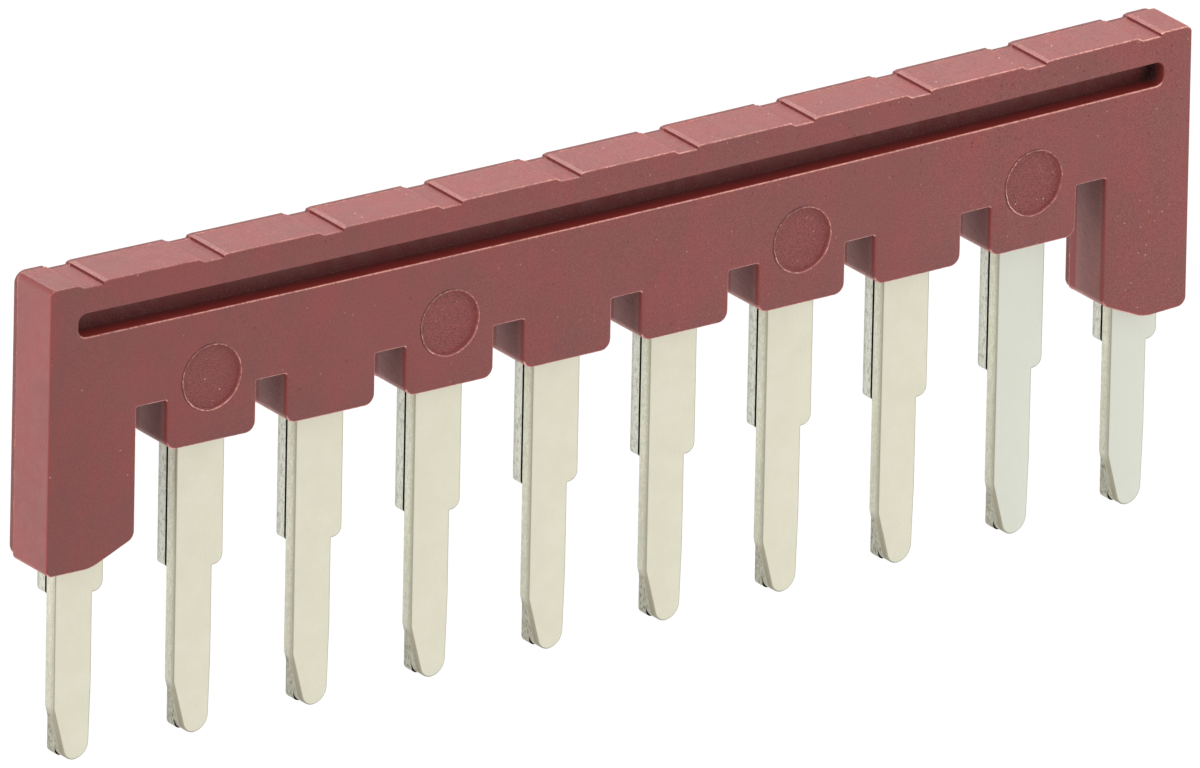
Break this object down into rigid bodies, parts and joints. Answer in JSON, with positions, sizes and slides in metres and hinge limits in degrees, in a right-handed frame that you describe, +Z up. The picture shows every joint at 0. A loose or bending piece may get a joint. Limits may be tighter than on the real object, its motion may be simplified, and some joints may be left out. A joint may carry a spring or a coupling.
{
  "type": "terminal block jumper bar",
  "caption": "Plug-in jumper bar: a red moulded housing with teeth and two long end legs over two stamped tinned combs lying back to back.",
  "frame": {"origin": "middle of the row of poles, between the two combs, level with the underside of the teeth", "axes": "+X along the row of poles, +Y from the front face with the groove to the back, +Z up, away from the terminal blocks"},
  "size_m": [0.0602, 0.003, 0.0224],
  "materials": {
    "red_plastic": "moulded, matt with a faint sheen",
    "tinned_copper": "matt tin plate over copper alloy"
  },
  "bodies": {
    "root": {"housing": "red_plastic", "front_comb": "tinned_copper", "rear_comb": "tinned_copper"}
  },
  "joints": []
}
